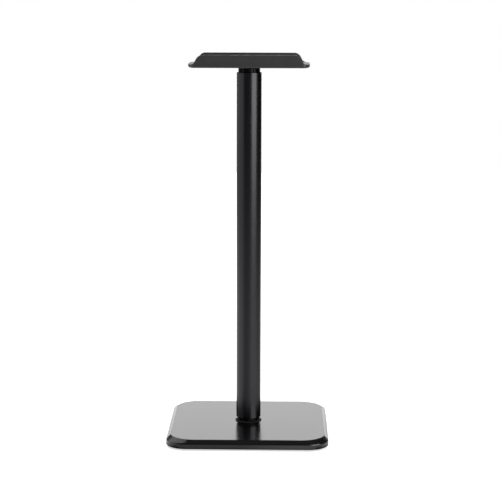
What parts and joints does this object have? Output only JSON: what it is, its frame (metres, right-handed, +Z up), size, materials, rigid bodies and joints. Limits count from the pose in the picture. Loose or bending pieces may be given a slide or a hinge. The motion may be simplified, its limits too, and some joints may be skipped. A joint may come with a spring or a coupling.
{
  "type": "headphone stand",
  "caption": "Free-standing headphone stand: weighted square base, round pole and a soft saddle that turns on the pole's top.",
  "frame": {"origin": "on the surface the stand rests on, under the pole's axis", "axes": "+Z up along the pole, +X along the saddle from one open end to the other, +Y towards the back"},
  "size_m": [0.1086, 0.1086, 0.2594],
  "materials": {
    "gloss_abs": "moulded black ABS, polished top face",
    "anodised_aluminium": "drawn tube, satin black anodised",
    "nylon": "moulded black nylon",
    "tpu": "moulded soft matt black TPU",
    "rubber": "matt black rubber",
    "coated_steel": "sheet steel, thin black coating",
    "zinc_steel": "bright zinc plated steel",
    "brass": "turned brass"
  },
  "bodies": {
    "stand": {"base_shell": "gloss_abs", "ballast_plate": "coated_steel", "plate_screw_front": "zinc_steel", "plate_screw_right": "zinc_steel", "plate_screw_back": "zinc_steel", "plate_screw_left": "zinc_steel", "foot_front_left": "rubber", "foot_front_right": "rubber", "foot_back_left": "rubber", "foot_back_right": "rubber", "pole_screw_washer": "zinc_steel", "pole_screw": "zinc_steel", "foot_ring": "rubber", "bottom_plug": "nylon", "bottom_insert": "brass", "pole_tube": "anodised_aluminium", "top_plug": "nylon", "top_insert": "brass", "wave_washer": "zinc_steel", "head_screw": "zinc_steel"},
    "head": {"saddle": "tpu", "saddle_plate": "coated_steel", "screw_cap": "tpu"}
  },
  "joints": [
    {"name": "head_swivel", "type": "hinge", "parent": "stand", "child": "head", "pos_m": [0, 0, 0.2508], "axis": [0, 0, 1], "continuous": true}
  ]
}
